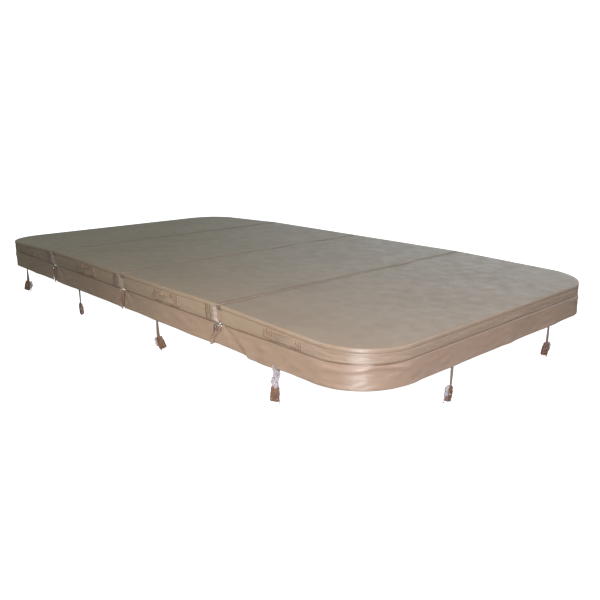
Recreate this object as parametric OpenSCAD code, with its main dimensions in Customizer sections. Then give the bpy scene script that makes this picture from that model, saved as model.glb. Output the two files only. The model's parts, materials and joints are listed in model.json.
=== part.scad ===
// Folding swim spa cover: four vinyl covered foam panels in a row, three top hinges,
// a hanging skirt all round, and twelve tie-down straps that end in key locks.
// Millimetres, +Z up, +X along the row of panels, +Y across it.
// The origin is the middle of panel 2's underside, which rests on the tub's rim.

/* [Cover] */
// Length of the whole cover, along the row of panels
length = 4200; // [3600:10:5200]
// Width of the cover
width = 2250; // [1800:10:2500]
// Height of the side wall at the two outer ends
end_h = 74; // [60:1:100]
// Height of the side wall at the hinges
hinge_h = 107; // [100:1:140]
// Radius of the four outer corners, seen from above
corner_r = 320; // [60:5:450]
// Radius of the upright edges beside a hinge
edge_r = 15; // [12:1:30]
// Thickness of the vinyl and of the underside fabric
skin_t = 1.2; // [0.8:0.1:2]
// Width of the hem that the vinyl turns in below, where the underside fabric starts
hem_w = 9; // [9:0.5:11]

/* [Panel insides] */
// Room between the vinyl and the wrapped foam, which the rounded edges and seams take up
vinyl_room = 4; // [3:0.5:8]
// Thickness of the vapour wrap round the foam
film_t = 0.4; // [0.3:0.1:1]
// Clearance between one layer and the next
layer_gap = 0.3; // [0.2:0.1:1]
// Sheet thickness of the steel channels
steel_t = 1.2; // [0.8:0.1:2]
// Width of a channel's two flanges
flange_w = 40; // [20:1:60]

/* [Skirt] */
// Drop of the skirt below the underside
skirt_h = 125; // [80:1:160]
// Thickness of the skirt, two layers of vinyl
skirt_t = 2; // [1:0.1:3]
// Distance from a hinge line to the end of the skirt
skirt_split = 24; // [23:1:60]

/* [Hinges] */
// Gap between two neighbouring panels
panel_gap = 6; // [4:0.5:12]
// Height of the fold line above the panels' tops
fold_rise = 4; // [3.5:0.5:8]
// Radius of the sewn roll on the fold line
roll_r = 3; // [2:0.25:3.25]
// Thickness of the seal that hangs in the gap
seal_t = 2; // [1:0.1:3]
// Width of the flap that closes the split in the skirt
flap_w = 42; // [20:1:46]

/* [Handles] */
// Length of a handle
handle_l = 300; // [200:5:400]
// Width of a handle's strap
handle_w = 38; // [25:1:50]
// Thickness of a handle's strap
handle_t = 3; // [2:0.5:5]
// How far a handle stands out at its middle
handle_bow = 12; // [9:1:25]
// Height of a handle's centre line above the underside
handle_z = 38; // [30:1:50]

/* [Tie-downs] */
// Width of the strap's webbing
webbing_w = 25; // [20:1:40]
// Thickness of the webbing
webbing_t = 1.6; // [1:0.1:2.5]
// Depth of the strap's fold line below the underside
tie_drop = 3; // [2:0.5:6]
// Depth of a lock's top below the underside
lock_top = 226; // [180:1:300]
// Width of a lock
lock_w = 46; // [40:1:60]
// Height of a lock
lock_h = 80; // [60:1:100]
// Thickness of a lock
lock_t = 20; // [16:1:26]
// Radius of a lock's screw holes
screw_r = 2.2; // [1.5:0.1:3]
// Distance between the two screw holes
screw_pitch = 30; // [20:1:36]

/* [Hidden] */
$fn = 96;
panel_count = 4;
root_panel = 2;
tie_count = 12;
pitch = length / panel_count;
half_w = width / 2;
cut = 1;                       // how far a cutting shape runs past what it cuts

// Each layer's distance in from the panel's outside; below, they lie close on the hem
film_in = skin_t + vinyl_room;
steel_in = film_in + film_t + layer_gap;
foam_in = steel_in + steel_t + layer_gap;
function layer_z(inset) = inset - vinyl_room + layer_gap;
channel_short = 20;            // a channel stops this far before each side wall

// Zips: a slider for each panel, on the line where the liner opens
zip_line = 14;                 // from the hinge line
slider_w = 9;
slider_l = 14;
slider_h = 4;
slider_out = 6;                // how far the parked slider shows past the side wall
pull_r = 7;
pull_t = 1.6;

// Hinge flaps: how far in from the side walls, and how far below the zips' line
flap_in = skirt_t + 1;
flap_drop = 8;

// Tie-downs: where each one hangs, from its own panel's middle
side_tie_x = [-60, -140, -125, -70];
end_tie_y = [-470, 525];
tie_inset = flap_in + webbing_t / 2;
strap_top = 1;                 // webbing above its own fold line
strap_in_lock = 16;
slot_clear = 0.4;
lock_corner_r = 7;
screw_up = 14;                 // screw holes above the lock's lower edge
handle_tab = 45;               // the flat, sewn stretch at each end of a handle
handle_steps = 24;

vinyl = [0.66, 0.59, 0.52];
dark_vinyl = [0.52, 0.46, 0.40];
web_brown = [0.50, 0.42, 0.36];

function numbered(name, last) = [for (n = [1:last]) str(name, n)];
function two_digits(n) = str(n < 10 ? "0" : "", n);

// ---- Where the panels are ----

// The hinge line after panel n; n = 0 and n = 4 are the cover's two ends
function line_x(n) = (n - root_panel + 0.5) * pitch;
function mid_x(n) = (n - root_panel) * pitch;
function is_first(n) = n == 1;
function is_last(n) = n == panel_count;
function low_x(n) = line_x(n - 1) + (is_first(n) ? 0 : panel_gap / 2);
function high_x(n) = line_x(n) - (is_last(n) ? 0 : panel_gap / 2);
function low_h(n) = is_first(n) ? end_h : hinge_h;
function high_h(n) = is_last(n) ? end_h : hinge_h;
function low_r(n) = is_first(n) ? corner_r : edge_r;
function high_r(n) = is_last(n) ? corner_r : edge_r;
// The hinge line that panel n's zip runs beside, and the side of it that the panel is on
function zip_hinge_x(n) = line_x(n % 2 == 1 ? n : n - 1);
function zip_x(n) = zip_hinge_x(n) + (n % 2 == 1 ? -zip_line : zip_line);

// A panel's outline from above, drawn in by inset all round
module plan(n, inset) {
    x0 = low_x(n) + inset;
    x1 = high_x(n) - inset;
    y1 = half_w - inset;
    r0 = low_r(n) - inset;
    r1 = high_r(n) - inset;
    translate([x0 + r0, -y1]) square([x1 - r1 - x0 - r0, 2 * y1]);
    translate([x0, r0 - y1]) square([r0, 2 * (y1 - r0)]);
    translate([x1 - r1, r1 - y1]) square([r1, 2 * (y1 - r1)]);
    for (s = [-1, 1]) {
        translate([x0 + r0, s * (y1 - r0)]) circle(r0);
        translate([x1 - r1, s * (y1 - r1)]) circle(r1);
    }
}

// Height of the panel's top at x, where the two outer panels taper
function top_z(n, x) =
    low_h(n) + (high_h(n) - low_h(n)) * (x - low_x(n)) / (high_x(n) - low_x(n));

// A prism across the cover whose top follows the panel's taper
module taper(n, inset, bottom) {
    x0 = low_x(n) - cut;
    x1 = high_x(n) + cut;
    rotate([90, 0, 0])
        linear_extrude(width + 2 * cut, center = true)
            polygon([
                [x0, bottom],
                [x1, bottom],
                [x1, top_z(n, x1) - inset],
                [x0, top_z(n, x0) - inset]
            ]);
}

// The panel's solid, drawn in by inset, with its bottom at the given height
module panel_solid(n, inset, bottom) {
    intersection() {
        translate([0, 0, bottom]) linear_extrude(hinge_h + cut - bottom) plan(n, inset);
        taper(n, inset, bottom - cut);
    }
}

// ---- One panel's layers, from the outside in ----

// Vinyl over the top and the side walls, with a hem turned in below
module panel_cover(n) {
    color(vinyl)
        difference() {
            panel_solid(n, 0, 0);
            panel_solid(n, skin_t, skin_t);
            translate([0, 0, -cut]) linear_extrude(skin_t + 2 * cut) plan(n, hem_w);
        }
}

// Fabric that closes the underside inside the hem and zips open
module underside_liner(n) {
    color("dimgray") linear_extrude(skin_t) plan(n, hem_w);
}

// Plastic film sealed all round the foam
module vapour_wrap(n) {
    color("white", 0.5)
        difference() {
            panel_solid(n, film_in, layer_z(film_in));
            panel_solid(n, film_in + film_t, layer_z(film_in + film_t));
        }
}

// Expanded polystyrene, tapered on the two outer panels to shed rain
module foam_core(n) {
    color("ivory") panel_solid(n, foam_in, layer_z(foam_in));
}

// Steel channel along each edge that meets a hinge, open towards the panel's middle
module steel_channel(n) {
    if (!is_first(n)) channel(n, low_x(n), 1);
    if (!is_last(n)) channel(n, high_x(n), -1);
}

// The edge is at x, and the panel lies the given way from it along X
module channel(n, x, way) {
    back = x + way * steel_in;
    front = back + way * steel_t;
    tip = back + way * flange_w;
    low = layer_z(steel_in);
    function high(at) = top_z(n, at) - steel_in;
    color("silver")
        rotate([90, 0, 0])
            linear_extrude(width - 2 * channel_short, center = true)
                polygon([
                    [back, low], [tip, low], [tip, low + steel_t],
                    [front, low + steel_t], [front, high(front) - steel_t],
                    [tip, high(tip) - steel_t], [tip, high(tip)], [back, high(back)]
                ]);
}

// The skirt hangs from the bottom seam and stops short of each hinge
module skirt(n) {
    x0 = is_first(n) ? low_x(n) : line_x(n - 1) + skirt_split;
    x1 = is_last(n) ? high_x(n) : line_x(n) - skirt_split;
    color(vinyl)
        intersection() {
            translate([0, 0, -skirt_h])
                linear_extrude(skirt_h)
                    difference() {
                        plan(n, 0);
                        plan(n, skirt_t);
                    }
            translate([x0, -width, -2 * skirt_h]) cube([x1 - x0, 2 * width, 3 * skirt_h]);
        }
}

// ---- Handles ----

// How far a handle's inner face stands off the wall, at u = 0 to 1 along the free stretch
function bow(u) = handle_bow * (1 - cos(360 * u)) / 2;

module handle() {
    free = handle_l - 2 * handle_tab;
    inner = [for (i = [0:handle_steps]) [free * (i / handle_steps - 0.5), -bow(i / handle_steps)]];
    outer = [for (i = [handle_steps:-1:0]) inner[i] - [0, handle_t]];
    ends = [-handle_l / 2, handle_l / 2];
    linear_extrude(handle_w, center = true)
        polygon(concat(
            [[ends[0], 0]], inner,
            [[ends[1], 0], [ends[1], -handle_t]], outer,
            [[ends[0], -handle_t]]
        ));
}

module handles(n) {
    color(dark_vinyl)
        for (turn = [0, 180])
            translate([mid_x(n), 0, handle_z])
                rotate([0, 0, turn])
                    translate([0, -half_w, 0]) handle();
}

// ---- Zip slider, parked at the near side wall, and its ring pull ----

module zip_slider(n) {
    ring_y = -slider_l / 2 - pull_r + 1;
    color("silver")
        translate([zip_x(n), -half_w - slider_out + slider_l / 2, -slider_h - 0.5]) {
            translate([-slider_w / 2, -slider_l / 2, 0]) cube([slider_w, slider_l, slider_h]);
            difference() {
                translate([0, ring_y, 0]) cylinder(r = pull_r, h = pull_t);
                translate([0, ring_y, -cut]) cylinder(r = pull_r - 2.5, h = pull_t + 2 * cut);
            }
        }
}

// ---- Hinge: a sewn roll on the fold line, a seal in the gap, a flap at each end ----

module hinge(n) {
    fold_z = hinge_h + fold_rise;
    end_y = half_w - flap_in;
    color(dark_vinyl)
        translate([line_x(n), 0, 0]) {
            translate([0, 0, fold_z])
                rotate([90, 0, 0])
                    cylinder(r = roll_r, h = 2 * end_y, center = true);
            translate([-seal_t / 2, -end_y, 0]) cube([seal_t, 2 * end_y, fold_z]);
            for (turn = [0, 180])
                rotate([0, 0, turn]) translate([0, skirt_t / 2 - end_y, 0]) end_flap();
        }
}

// The flap's narrow stem leaves the zips' sliders a way past
module end_flap() {
    low = cut - skirt_h;
    translate([-seal_t / 2, -skirt_t / 2, -flap_drop - cut])
        cube([seal_t, skirt_t, flap_drop + 2 * cut]);
    translate([-flap_w / 2, -skirt_t / 2, low]) cube([flap_w, skirt_t, -flap_drop - low]);
}

// ---- Tie-downs: t = 1 to 4 near side, 5 and 6 high end, 7 to 10 far side, 11 and 12 low end ----

function tie_on_side(t) = t <= 4 || (t >= 7 && t <= 10);
function tie_panel(t) = t <= 4 ? t : t <= 6 ? panel_count : t <= 10 ? 11 - t : 1;
function tie_turn(t) = t <= 4 ? 0 : t <= 6 ? 90 : t <= 10 ? 180 : 270;
function tie_along(t) =
    tie_on_side(t)
        ? mid_x(tie_panel(t)) + side_tie_x[tie_panel(t) - 1]
        : end_tie_y[(t - 5) % 2];
function tie_pos(t) =
    let (side = half_w - tie_inset, low = line_x(0) + tie_inset, high = line_x(4) - tie_inset)
    t <= 4 ? [tie_along(t), -side, -tie_drop]
        : t <= 6 ? [high, tie_along(t), -tie_drop]
        : t <= 10 ? [tie_along(t), side, -tie_drop]
        : [low, tie_along(t), -tie_drop];

// Moves a tie-down to its place; its fold line is on its own X axis, and -Y points outwards
module hang(t) {
    translate(tie_pos(t)) rotate([0, 0, tie_turn(t)]) children();
}

module tie_strap(t) {
    low = tie_drop - lock_top - strap_in_lock;
    color(web_brown)
        hang(t)
            translate([-webbing_w / 2, -webbing_t / 2, low])
                cube([webbing_w, webbing_t, strap_top - low]);
}

module rounded_face(w, h, r) {
    square([w - 2 * r, h], center = true);
    square([w, h - 2 * r], center = true);
    for (x = [-1, 1], y = [-1, 1])
        translate([x * (w / 2 - r), y * (h / 2 - r)]) circle(r);
}

module lock(t) {
    slot = [webbing_w + 2 * slot_clear, webbing_t + 2 * slot_clear, strap_in_lock + slot_clear];
    color("sienna")
        hang(t)
            translate([0, 0, tie_drop - lock_top - lock_h / 2])
                difference() {
                    rotate([90, 0, 0])
                        linear_extrude(lock_t, center = true)
                            rounded_face(lock_w, lock_h, lock_corner_r);
                    translate([0, 0, lock_h / 2 - slot[2] / 2 + cut / 2])
                        cube(slot + [0, 0, cut], center = true);
                    for (x = [-1, 1])
                        translate([x * screw_pitch / 2, 0, screw_up - lock_h / 2])
                            rotate([90, 0, 0])
                                cylinder(r = screw_r, h = lock_t + 2 * cut, center = true);
                }
}

// ---- The nodes ----

for (n = [1:panel_count]) {
    panel_cover(n);
    underside_liner(n);
    vapour_wrap(n);
    foam_core(n);
    steel_channel(n);
    skirt(n);
    handles(n);
    zip_slider(n);
}
for (n = [1:panel_count - 1]) {
    hinge(n);
}
for (t = [1:tie_count]) {
    tie_strap(t);
    lock(t);
}
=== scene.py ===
"""Folding swim spa cover: the visible pieces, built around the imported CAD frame. Metres, +Z up."""
import json
from math import cos, dist, exp, pi, radians, sin, sqrt

import bmesh
import bpy
import numpy as np
from mathutils import Matrix, Vector

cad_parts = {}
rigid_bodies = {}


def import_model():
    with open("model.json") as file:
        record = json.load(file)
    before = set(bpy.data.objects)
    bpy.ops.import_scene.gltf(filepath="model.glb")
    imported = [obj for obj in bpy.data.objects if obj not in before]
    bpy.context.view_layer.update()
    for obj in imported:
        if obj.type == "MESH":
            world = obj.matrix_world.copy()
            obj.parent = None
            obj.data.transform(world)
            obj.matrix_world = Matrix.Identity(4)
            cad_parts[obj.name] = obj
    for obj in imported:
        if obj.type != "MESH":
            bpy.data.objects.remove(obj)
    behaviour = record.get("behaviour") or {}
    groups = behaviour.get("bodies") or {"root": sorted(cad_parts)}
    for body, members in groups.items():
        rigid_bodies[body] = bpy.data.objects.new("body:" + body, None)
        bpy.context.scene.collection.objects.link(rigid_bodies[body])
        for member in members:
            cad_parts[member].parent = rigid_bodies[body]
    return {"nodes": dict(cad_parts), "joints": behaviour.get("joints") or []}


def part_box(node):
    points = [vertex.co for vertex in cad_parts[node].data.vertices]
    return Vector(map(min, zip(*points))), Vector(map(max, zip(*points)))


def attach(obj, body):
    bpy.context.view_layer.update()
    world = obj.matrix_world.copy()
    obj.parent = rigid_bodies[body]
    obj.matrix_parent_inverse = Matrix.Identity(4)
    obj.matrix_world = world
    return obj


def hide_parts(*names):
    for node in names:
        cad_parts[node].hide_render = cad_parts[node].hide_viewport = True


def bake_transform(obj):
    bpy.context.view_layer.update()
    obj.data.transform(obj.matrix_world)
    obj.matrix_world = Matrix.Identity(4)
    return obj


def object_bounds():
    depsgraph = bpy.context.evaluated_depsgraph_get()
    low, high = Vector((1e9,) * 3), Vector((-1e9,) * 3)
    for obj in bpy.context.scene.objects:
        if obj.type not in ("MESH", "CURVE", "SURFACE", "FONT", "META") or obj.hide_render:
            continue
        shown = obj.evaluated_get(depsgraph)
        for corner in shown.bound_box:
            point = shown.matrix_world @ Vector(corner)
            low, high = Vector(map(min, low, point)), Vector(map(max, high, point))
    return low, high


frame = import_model()
CAD_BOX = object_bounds()
MM = 0.001
TAU = 2 * pi

# ---- Camera ----

AZIMUTH, ELEVATION = radians(46.92), radians(14.92)
AIM = Vector((1.697, -0.642, 0.068))
DISTANCE = 3.7685
LENS = 39.58

BACK = Vector((
    sin(AZIMUTH) * cos(ELEVATION),
    -cos(AZIMUTH) * cos(ELEVATION),
    sin(ELEVATION),
))


def add_object(name, data):
    obj = bpy.data.objects.new(name, data)
    bpy.context.scene.collection.objects.link(obj)
    return obj


camera = add_object("camera", bpy.data.cameras.new("camera"))
camera.data.lens = LENS
camera.data.clip_start, camera.data.clip_end = 0.05, 60
camera.location = AIM + BACK * DISTANCE
camera.rotation_euler = BACK.to_track_quat("Z", "Y").to_euler()
bpy.context.scene.camera = camera

# ---- Procedural materials ----


class Graph:
    """Short calls for the nodes of a material or a sky. add returns the node, and the others its output."""

    def __init__(self, tree):
        self.tree = tree

    def put(self, node, sockets):
        for key, value in sockets.items():
            if isinstance(value, bpy.types.NodeSocket):
                self.tree.links.new(value, node.inputs[key])
            else:
                node.inputs[key].default_value = value

    def add(self, kind, sockets, **settings):
        node = self.tree.nodes.new(kind)
        for key, value in settings.items():
            setattr(node, key, value)
        self.put(node, sockets)
        return node

    def math(self, operation, a, b=0.0, c=0.0):
        return self.add("ShaderNodeMath", {0: a, 1: b, 2: c}, operation=operation).outputs[0]

    def ramp(self, value, low, high, to_low=0.0, to_high=1.0):
        return self.add(
            "ShaderNodeMapRange", {"Value": value, 1: low, 2: high, 3: to_low, 4: to_high},
            interpolation_type="SMOOTHSTEP",
        ).outputs[0]

    def times(self, a, b):
        return self.math("MULTIPLY", a, b)

    def mix(self, share, a, b):
        a, b = ((*v, 1) if isinstance(v, tuple) else v for v in (a, b))
        return self.add("ShaderNodeMix", {0: share, 6: a, 7: b}, data_type="RGBA").outputs[2]


class Shader(Graph):
    """A material with one Principled BSDF."""

    def __init__(self, name, **sockets):
        self.material = bpy.data.materials.new(name)
        self.material.use_nodes = True
        super().__init__(self.material.node_tree)
        self.bsdf = self.tree.nodes["Principled BSDF"]
        self.put(self.bsdf, {key.replace("_", " "): value for key, value in sockets.items()})

    def where(self, stretch=(1, 1, 1)):
        place = self.add("ShaderNodeTexCoord", {}).outputs["Object"]
        return self.add("ShaderNodeMapping", {"Vector": place, "Scale": stretch}).outputs[0]

    def noise(self, at, scale, detail=3.0, rough=0.55):
        return self.add(
            "ShaderNodeTexNoise", {"Vector": at, "Scale": scale, "Detail": detail, "Roughness": rough}
        ).outputs[0]

    def attribute(self, name):
        return self.add("ShaderNodeAttribute", {}, attribute_name=name).outputs["Fac"]

    def bump(self, layers):
        """Stacks (height, depth in metres) layers and drives the surface's normal."""
        below = {}
        for height, depth in layers:
            node = self.add("ShaderNodeBump", {"Height": height, "Strength": 1.0, "Distance": depth, **below})
            below = {"Normal": node.outputs[0]}
        self.put(self.bsdf, below)

    def stitches(self, rows, pitch=6.5 * MM, half=0.75 * MM):
        """A mask of dashed thread along the rows, which are distances in the 'across' attribute."""
        along, across = self.attribute("along"), self.attribute("across")
        dash = self.ramp(self.math("SINE", self.times(along, TAU / pitch)), -0.45, -0.2)
        if half > MM:
            dash = self.math("ADD", self.times(dash, 0.2), 0.8)
        total = None
        for row in rows:
            gap = self.math("ABSOLUTE", self.math("SUBTRACT", across, row))
            line = self.times(self.ramp(gap, half * 0.6, half * 1.3, 1.0, 0.0), dash)
            total = line if total is None else self.math("MAXIMUM", total, line)
        return total


def mixed(a, b, share):
    return tuple(x + (y - x) * share for x, y in zip(a, b))


def vinyl(
    name, light, dark, rows=(), thread=(0.22, 0.15, 0.10), grime=0.5, rough=(0.36, 0.50), pale=None,
    half=0.75 * MM,
):
    """Marine vinyl: pebbled grain, mottling, dust, scuffed edges and dashed stitches, half of whose width is
    half. pale is the 'across' distance past which the piece takes another colour, and that colour: a paler,
    greyer tone on the gusset's roll, and a dark painted shade in the crevice at the top of the skirt."""
    s = Shader(name, Specular_IOR_Level=0.5, Coat_Weight=0.18, Coat_Roughness=0.30)
    at = s.where()
    cloud = s.ramp(s.noise(at, 2.2, 4.0), 0.3, 0.72)
    speck = s.noise(at, 34.0, 5.0, 0.7)
    colour = s.mix(cloud, dark, light)
    colour = s.mix(s.ramp(speck, 0.35, 0.75, 0.0, 0.30), colour, mixed(dark, (0, 0, 0), 0.12))
    dust = s.ramp(s.noise(s.where((1.0, 1.7, 4.0)), 9.0, 6.0, 0.66), 0.52, 0.78, 0.0, 0.22 * grime)
    colour = s.mix(dust, colour, mixed(light, (1, 1, 1), 0.35))
    edge = s.add("ShaderNodeNewGeometry", {}).outputs["Pointiness"]
    colour = s.mix(s.ramp(edge, 0.52, 0.60, 0.0, 0.10), colour, mixed(light, (1, 1, 1), 0.25))
    if pale:
        share = s.ramp(s.attribute("across"), pale[0] - 2 * MM, pale[0] + 2 * MM)
        colour = s.mix(share, colour, s.mix(speck, pale[1], mixed(pale[1], dark, 0.3)))
    pebble = s.add("ShaderNodeTexVoronoi", {"Vector": at, "Scale": 620.0}).outputs[0]
    fine = s.noise(at, 1500.0, 2.0)
    crease = s.noise(s.where((1.0, 1.0, 2.4)), 24.0, 5.0, 0.62)
    layers = [(crease, 1.6 * MM), (pebble, 0.22 * MM), (fine, 0.06 * MM)]
    if rows:
        mask = s.stitches(rows, half=half)
        colour = s.mix(mask, colour, thread)
        layers.append((mask, 0.5 * MM))
    s.put(s.bsdf, {
        "Base Color": colour,
        "Roughness": s.ramp(s.noise(at, 12.0, 4.0), 0.3, 0.7, rough[0], rough[1]),
    })
    s.bump(layers)
    return s.material


def woven(name, warp, weft, thread, rough=0.8, sheen=0.3):
    """Woven yarns in the piece's own 'along' and 'across' directions."""
    s = Shader(name, Roughness=rough, Specular_IOR_Level=0.25, Sheen_Weight=sheen, Sheen_Roughness=0.5)
    turn = TAU / (2 * thread)
    over, side = (s.math("SINE", s.times(s.attribute(way), turn)) for way in ("along", "across"))
    check = s.times(over, side)
    yarn = s.math("ADD", *(s.times(s.math("ABSOLUTE", wave), 0.5) for wave in (over, side)))
    fuzz = s.noise(s.where(), 60.0, 5.0, 0.7)
    colour = s.mix(s.ramp(check, -0.3, 0.3), warp, weft)
    colour = s.mix(s.ramp(fuzz, 0.35, 0.7, 0.0, 0.35), colour, mixed(warp, (0, 0, 0), 0.35))
    s.put(s.bsdf, {"Base Color": colour})
    s.bump([(fuzz, 0.5 * MM), (yarn, 0.35 * MM), (check, 0.15 * MM)])
    return s.material


def grainy(name, light, dark, scale, rough, depth=0.2 * MM, **sockets):
    """A moulded, cast or foamed surface: two tones, a fine grain and an uneven gloss."""
    s = Shader(name, **sockets)
    at = s.where()
    tone = s.noise(at, scale * 0.12, 4.0)
    grain = s.noise(at, scale, 4.0, 0.6)
    edge = s.add("ShaderNodeNewGeometry", {}).outputs["Pointiness"]
    colour = s.mix(s.ramp(tone, 0.3, 0.7), dark, light)
    colour = s.mix(s.ramp(edge, 0.53, 0.62, 0.0, 0.35), colour, mixed(light, (1, 1, 1), 0.3))
    s.put(s.bsdf, {"Base Color": colour, "Roughness": s.ramp(grain, 0.3, 0.7, rough[0], rough[1])})
    s.bump([(grain, depth)])
    return s.material


TAN, UMBER = (0.375, 0.290, 0.205), (0.335, 0.258, 0.182)
EDGE_ROWS = (26 * MM, 34.5 * MM)
PAD = vinyl("vinyl_panel", TAN, UMBER, EDGE_ROWS)
# The skirt's pale setting paints its top lip dark: painted shade in the crevice between the side wall and the
# skirt.
SKIRT = vinyl(
    "vinyl_skirt", (0.40, 0.295, 0.21), (0.36, 0.266, 0.19), (-9 * MM,), grime=0.7, rough=(0.30, 0.44),
    pale=(-4.6 * MM, (0.15, 0.09, 0.055)),
)
# The hinge strip is painted darker than the panels' vinyl: painted shade for the crease over each fold.
SHADED_HINGE = vinyl(
    "vinyl_hinge_painted_shade", (0.235, 0.165, 0.122), (0.18, 0.128, 0.093), (-14 * MM, 14 * MM), (0.19, 0.13, 0.09),
)
ROLL = vinyl(
    "vinyl_roll", TAN, UMBER, (-111 * MM, -93 * MM, -75 * MM), (0.10, 0.05, 0.035), rough=(0.3, 0.42),
    pale=(-62 * MM, (0.37, 0.30, 0.25)), half=3.2 * MM,
)
HANDLE = vinyl("vinyl_handle", (0.36, 0.272, 0.19), (0.32, 0.242, 0.168), (-15 * MM, 15 * MM))
PATCH = vinyl(
    "vinyl_patch", (0.39, 0.29, 0.205), (0.35, 0.26, 0.182), [k * 17 * MM for k in (-2, -1, 0, 1, 2)],
    (0.15, 0.075, 0.05), half=2.6 * MM,
)
FLAP = vinyl("vinyl_flap", (0.40, 0.265, 0.195), (0.35, 0.225, 0.165), grime=0.3)
LINER = woven("liner_weave", (0.10, 0.098, 0.092), (0.13, 0.127, 0.12), 1.6 * MM, rough=0.75)
WEBBING = woven("webbing_weave", (0.26, 0.19, 0.145), (0.20, 0.145, 0.11), 1.5 * MM)
PLASTIC = grainy(
    "lock_plastic", (0.24, 0.135, 0.085), (0.17, 0.095, 0.06), 900, (0.32, 0.48), Coat_Weight=0.1,
)
# The key slot is a near-black plate: painted shade for the depth of the keyhole.
KEYHOLE_SHADE = grainy("keyhole_painted_shade", (0.05, 0.04, 0.035), (0.03, 0.025, 0.02), 800, (0.5, 0.7))
METAL = grainy(
    "plated_metal", (0.72, 0.71, 0.68), (0.55, 0.54, 0.52), 700, (0.16, 0.34), 0.05 * MM, Metallic=1,
)
TEETH = grainy("zip_teeth", (0.20, 0.18, 0.16), (0.12, 0.11, 0.10), 600, (0.35, 0.5))
FILM = grainy("vapour_film", (0.80, 0.83, 0.84), (0.70, 0.74, 0.76), 90, (0.12, 0.3), 0.8 * MM)
FOAM = grainy("foam_beads", (0.88, 0.88, 0.85), (0.80, 0.80, 0.77), 260, (0.75, 0.9), 0.6 * MM)
STEEL = grainy(
    "galvanised_steel", (0.66, 0.67, 0.68), (0.50, 0.52, 0.54), 120, (0.28, 0.45), 0.05 * MM, Metallic=1,
)

# ---- Mesh helpers ----


# ---- Mesh helpers ----

SIDES = (("near", -1), ("far", 1))


def ripple(x, y, wave, seed):
    """A smooth, seeded field of waves about one wavelength long, of unit variance."""
    rng = np.random.default_rng(seed)
    total = np.zeros(np.broadcast(x, y).shape)
    for _ in range(9):
        turn, phase = rng.uniform(0, TAU, 2)
        length = wave * rng.uniform(0.6, 1.5)
        total += np.sin((x * cos(turn) + y * sin(turn)) * TAU / length + phase)
    return total / sqrt(4.5)


def smooth(value, low, high):
    t = np.clip((value - low) / (high - low), 0, 1)
    return t * t * (3 - 2 * t)


def within(depth, margin):
    """1 in the middle of a depth that runs from 0 to 1, falling to 0 over a margin at both ends."""
    return smooth(depth, 0, margin) * smooth(1 - depth, 0, margin)


def steps(a, b, size):
    return np.linspace(a, b, max(2, int(round(abs(b - a) / size)) + 1))


def run(line):
    """How far along a line of points each of them lies."""
    return np.r_[0, np.cumsum(np.linalg.norm(np.diff(line, axis=0), axis=1))]


def places(x, y, z):
    """Rows of (x, y, z), where each of the three may be one number or an array."""
    return np.stack(np.broadcast_arrays(x, y, z), -1).astype(float)


def belong(piece, body, slot, *nodes):
    """A piece rides on a body and replaces the CAD nodes that are named, which it hides. slot is not used."""
    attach(piece, body)
    if nodes:
        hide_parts(*nodes)


def mesh_object(name, points, faces, material, along=None, across=None, sharp=False):
    mesh = bpy.data.meshes.new(name)
    mesh.from_pydata(np.asarray(points, float).tolist(), [], [list(map(int, f)) for f in faces])
    for label, values in (("along", along), ("across", across)):
        if values is not None:
            layer = mesh.attributes.new(label, "FLOAT", "POINT")
            layer.data.foreach_set("value", np.asarray(values, np.float32).ravel())
    bm = bmesh.new()
    bm.from_mesh(mesh)
    bmesh.ops.recalc_face_normals(bm, faces=bm.faces)
    bm.to_mesh(mesh)
    bm.free()
    mesh.shade_smooth()
    if sharp:
        mesh.set_sharp_from_angle(angle=radians(38))
    mesh.materials.append(material)
    return add_object(name, mesh)


def grid_faces(index):
    """Quads between the points of a grid."""
    return [tuple(map(int, quad)) for quad in np.stack(
        [index[:-1, :-1], index[:-1, 1:], index[1:, 1:], index[1:, :-1]], -1
    ).reshape(-1, 4)]


def band_faces(first, second, count):
    """Quads between two closed rings of count points that start at the given indices."""
    return [(first + i, first + (i + 1) % count, second + (i + 1) % count, second + i) for i in range(count)]


def tube_faces(count, size, closed=(0, -1)):
    """The sides of a tube, which is count rings of size points, and the rings that close it."""
    sides = [f for i in range(count - 1) for f in band_faces(i * size, (i + 1) * size, size)]
    return sides + [tuple(np.arange(count * size).reshape(count, size)[k]) for k in closed]


def sweep(name, path, out, section, material, warp=None, cross=1):
    """Sweeps a closed section of (outward, upward) points along a path. out holds the outward unit vectors,
    or the one they share, and cross says which of a section point's two distances is its 'across'."""
    path, section = np.asarray(path, float), np.asarray(section, float)
    out = np.broadcast_to(out, path.shape)
    count, size = len(path), len(section)
    along = np.repeat(run(path)[:, None], size, 1)
    proud, up = (np.repeat(section[None, :, k], count, 0) for k in (0, 1))
    side = np.zeros_like(up)
    if warp:
        proud, up, side = warp(along, proud, up)
    tangent = np.gradient(path, axis=0)
    tangent /= np.linalg.norm(tangent, axis=1)[:, None]
    lift = np.cross(tangent, out)
    if lift[count // 2, 2] < -0.5:
        lift = -lift
    points = np.repeat(path[:, None], size, 1)
    for way, far in ((out, proud), (lift, up), (tangent, side)):
        points = points + way[:, None] * far[..., None]
    across = np.repeat(section[None, :, cross], count, 0)
    return mesh_object(name, points.reshape(-1, 3), tube_faces(count, size), material, along, across)


def loft(name, rings, material, sharp=True, place=Matrix()):
    """Joins closed rings with the same count of points, and closes both ends."""
    rings = np.asarray(rings, float)
    points = rings.reshape(-1, 3)
    faces, placed = tube_faces(*rings.shape[:2]), [place @ Vector(p) for p in points]
    return mesh_object(name, placed, faces, material, points[:, 2], points[:, 0], sharp)


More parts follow.
